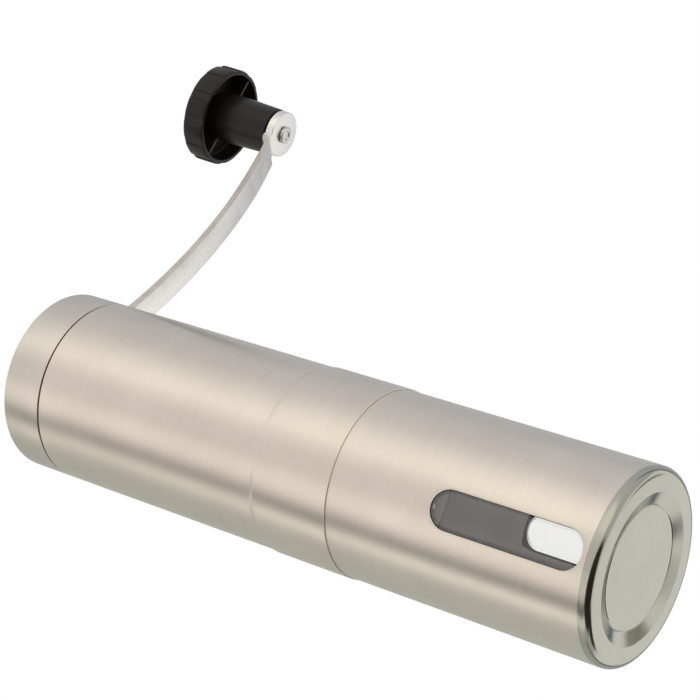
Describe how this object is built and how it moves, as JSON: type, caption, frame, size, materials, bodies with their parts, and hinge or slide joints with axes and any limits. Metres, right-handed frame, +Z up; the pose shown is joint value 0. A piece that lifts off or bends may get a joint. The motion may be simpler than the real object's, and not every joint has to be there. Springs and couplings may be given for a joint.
{
  "type": "hand coffee grinder",
  "caption": "Slim stainless steel hand coffee mill with a window in its pull-off grounds cup, conical burrs, and a curved removable crank with a turning knob.",
  "frame": {"origin": "on the grinding axis, in the plane of the standing ring under the grounds cup", "axes": "+Z up the grinding axis towards the lid, +X from the axis towards the crank's knob at rest"},
  "size_m": [0.167, 0.0496, 0.233],
  "materials": {
    "tube_steel": "fine brushing round the body",
    "cup_steel": "fine brushing round the wall, satin base",
    "lid_steel": "fine brushing round the rim",
    "bright_steel": "turned bright steel",
    "spring_steel": "drawn wire",
    "rivet_steel": "pressed bright",
    "cast_aluminium": "cast, lightly tumbled",
    "knob_plastic": "satin moulded, dark brown-black",
    "inner_plastic": "moulded, dark",
    "white_plastic": "moulded, white",
    "clear_plastic": "clear, glossy",
    "ceramic": "fired white ceramic"
  },
  "bodies": {
    "housing": {"hopper_tube": "tube_steel", "upper_bracket": "inner_plastic", "upper_bush": "white_plastic", "burr_carrier": "inner_plastic", "lower_bush": "white_plastic", "outer_burr": "ceramic"},
    "cup": {"grounds_cup": "cup_steel", "window_sleeve": "clear_plastic"},
    "lid": {"lid_shell": "lid_steel", "lid_plug": "inner_plastic"},
    "retainer": {"retaining_ring": "inner_plastic"},
    "drive": {"drive_shaft": "bright_steel", "spring_washer": "bright_steel", "thrust_washer": "bright_steel", "shaft_clip": "spring_steel", "burr_spring": "spring_steel"},
    "cone": {"inner_burr": "ceramic", "burr_driver": "white_plastic"},
    "adjuster": {"adjuster_nut": "white_plastic"},
    "crank": {"crank_arm": "cast_aluminium", "knob_rivet": "rivet_steel", "knob_washer": "rivet_steel"},
    "knob": {"knob_body": "knob_plastic", "knob_plate": "knob_plastic"}
  },
  "joints": [
    {"name": "cup_pull", "type": "slide", "parent": "housing", "child": "cup", "axis": [0, 0, -1], "range_m": [0, 0.1]},
    {"name": "lid_lift", "type": "slide", "parent": "housing", "child": "lid", "axis": [0, 0, 1], "range_m": [0, 0.03]},
    {"name": "retainer_twist", "type": "hinge", "parent": "housing", "child": "retainer", "pos_m": [0, 0, 0.082], "axis": [0, 0, 1], "range_deg": [0, 40]},
    {"name": "crank_spin", "type": "hinge", "parent": "housing", "child": "drive", "pos_m": [0, 0, 0.12], "axis": [0, 0, 1], "continuous": true},
    {"name": "crank_lift", "type": "slide", "parent": "drive", "child": "crank", "axis": [0, 0, 1], "range_m": [0, 0.06]},
    {"name": "knob_spin", "type": "hinge", "parent": "crank", "child": "knob", "pos_m": [0.1276, 0, 0.203], "axis": [-0.0381, -0.1184, 0.9922], "continuous": true},
    {"name": "burr_slide", "type": "slide", "parent": "drive", "child": "cone", "axis": [0, 0, -1], "range_m": [0, 0.0012], "deforming": ["burr_spring"]},
    {"name": "adjuster_turn", "type": "hinge", "parent": "cone", "child": "adjuster", "pos_m": [0, 0, 0.074], "axis": [0, 0, -1], "range_deg": [0, 433]}
  ],
  "couplings": [
    {"joint": "lid_lift", "follows": "crank_lift", "ratio": 0.5},
    {"joint": "adjuster_turn", "follows": "burr_slide", "rad_per_m": 6283.2}
  ]
}
